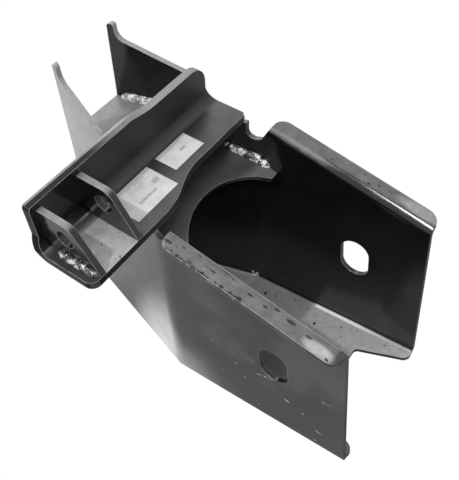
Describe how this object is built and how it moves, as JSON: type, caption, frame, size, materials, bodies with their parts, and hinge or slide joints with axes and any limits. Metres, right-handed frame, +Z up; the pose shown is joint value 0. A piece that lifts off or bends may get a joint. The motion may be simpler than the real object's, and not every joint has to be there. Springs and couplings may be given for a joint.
{
  "type": "suspension hanger bracket",
  "caption": "Welded steel hanger bracket of a semi-trailer: slotted channel, cross channel with a damper clevis, yoke and saddle.",
  "frame": {"origin": "on the pivot slots' axis, midway between the two walls", "axes": "+X from the horns toward the pivot end, +Y across the walls away from the clevis, +Z up from the level web"},
  "size_m": [0.3674, 0.259, 0.342],
  "materials": {
    "black_paint": "semi-gloss",
    "label_paper": "matte"
  },
  "bodies": {
    "root": {"hanger_channel": "black_paint", "cross_channel": "black_paint", "inner_clevis_rib": "black_paint", "outer_clevis_rib": "black_paint", "yoke_plate": "black_paint", "saddle_plate": "black_paint", "yoke_welds": "black_paint", "saddle_welds": "black_paint", "seat_welds": "black_paint", "rib_welds": "black_paint", "large_label": "label_paper", "small_label": "label_paper"}
  },
  "joints": []
}
